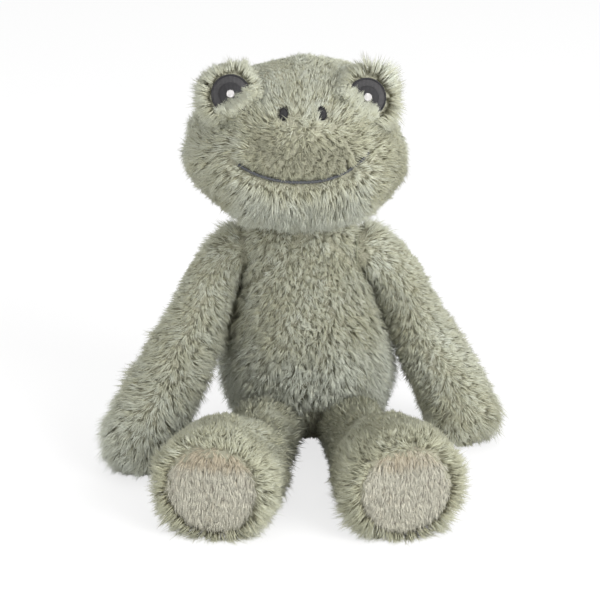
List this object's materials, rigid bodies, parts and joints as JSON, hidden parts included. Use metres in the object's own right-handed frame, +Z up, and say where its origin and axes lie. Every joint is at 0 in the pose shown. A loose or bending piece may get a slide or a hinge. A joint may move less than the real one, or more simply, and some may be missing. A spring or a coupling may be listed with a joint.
{
  "type": "plush frog",
  "caption": "Seated plush frog in long sage-green fur with an embroidered face, arms that hang to the floor and legs that lie forward to round pale soles.",
  "frame": {"origin": "middle of the outline on the floor under the seat", "axes": "+Z up, the frog faces -Y, +X to the viewer's right"},
  "size_m": [0.2308, 0.209, 0.2427],
  "materials": {
    "fur": "long pile",
    "sole_cloth": "short pile",
    "filling": "loose fibre",
    "pellets": "woven pouch of pellets",
    "eye_thread": "satin stitch",
    "pupil_thread": "satin stitch",
    "highlight_thread": "satin stitch",
    "mouth_thread": "twisted thread",
    "seam_thread": "thread"
  },
  "bodies": {
    "torso": {"body_skin": "fur", "body_filling": "filling", "pellet_pouch": "pellets", "back_seam": "seam_thread"},
    "neck": {"neck_filling": "filling", "neck_seam": "seam_thread"},
    "head": {"head_skin": "fur", "head_filling": "filling", "mouth_thread": "mouth_thread", "eye_mound_skin_left": "fur", "eye_mound_filling_left": "filling", "eye_disc_left": "eye_thread", "pupil_left": "pupil_thread", "eye_highlight_left": "highlight_thread", "eye_outline_left": "pupil_thread", "nostril_left": "pupil_thread", "eye_mound_skin_right": "fur", "eye_mound_filling_right": "filling", "eye_disc_right": "eye_thread", "pupil_right": "pupil_thread", "eye_highlight_right": "highlight_thread", "eye_outline_right": "pupil_thread", "nostril_right": "pupil_thread"},
    "arm_left": {"arm_skin_left": "fur", "arm_filling_left": "filling", "arm_seam_left": "seam_thread"},
    "arm_right": {"arm_skin_right": "fur", "arm_filling_right": "filling", "arm_seam_right": "seam_thread"},
    "leg_left": {"leg_skin_left": "fur", "leg_filling_left": "filling", "sole_pad_left": "sole_cloth"},
    "leg_right": {"leg_skin_right": "fur", "leg_filling_right": "filling", "sole_pad_right": "sole_cloth"}
  },
  "joints": [
    {"name": "head_turn", "type": "hinge", "parent": "torso", "child": "neck", "pos_m": [-0.00199, 0.04595, 0.146], "axis": [0, 0, 1], "range_deg": [-30, 30]},
    {"name": "head_nod", "type": "hinge", "parent": "neck", "child": "head", "pos_m": [-0.00199, 0.04595, 0.146], "axis": [-0.9981, -0.061, 0], "range_deg": [-12, 12]},
    {"name": "shoulder_left", "type": "hinge", "parent": "torso", "child": "arm_left", "pos_m": [-0.03199, 0.05195, 0.1185], "axis": [-1, 0, 0], "range_deg": [0, 75]},
    {"name": "shoulder_right", "type": "hinge", "parent": "torso", "child": "arm_right", "pos_m": [0.03001, 0.05195, 0.1185], "axis": [-1, 0, 0], "range_deg": [0, 90]},
    {"name": "hip_left", "type": "hinge", "parent": "torso", "child": "leg_left", "pos_m": [-0.02399, 0.01995, 0.0165], "axis": [1, 0, 0], "range_deg": [-40, 0]},
    {"name": "hip_right", "type": "hinge", "parent": "torso", "child": "leg_right", "pos_m": [0.02801, 0.01995, 0.0165], "axis": [1, 0, 0], "range_deg": [-40, 0]}
  ]
}
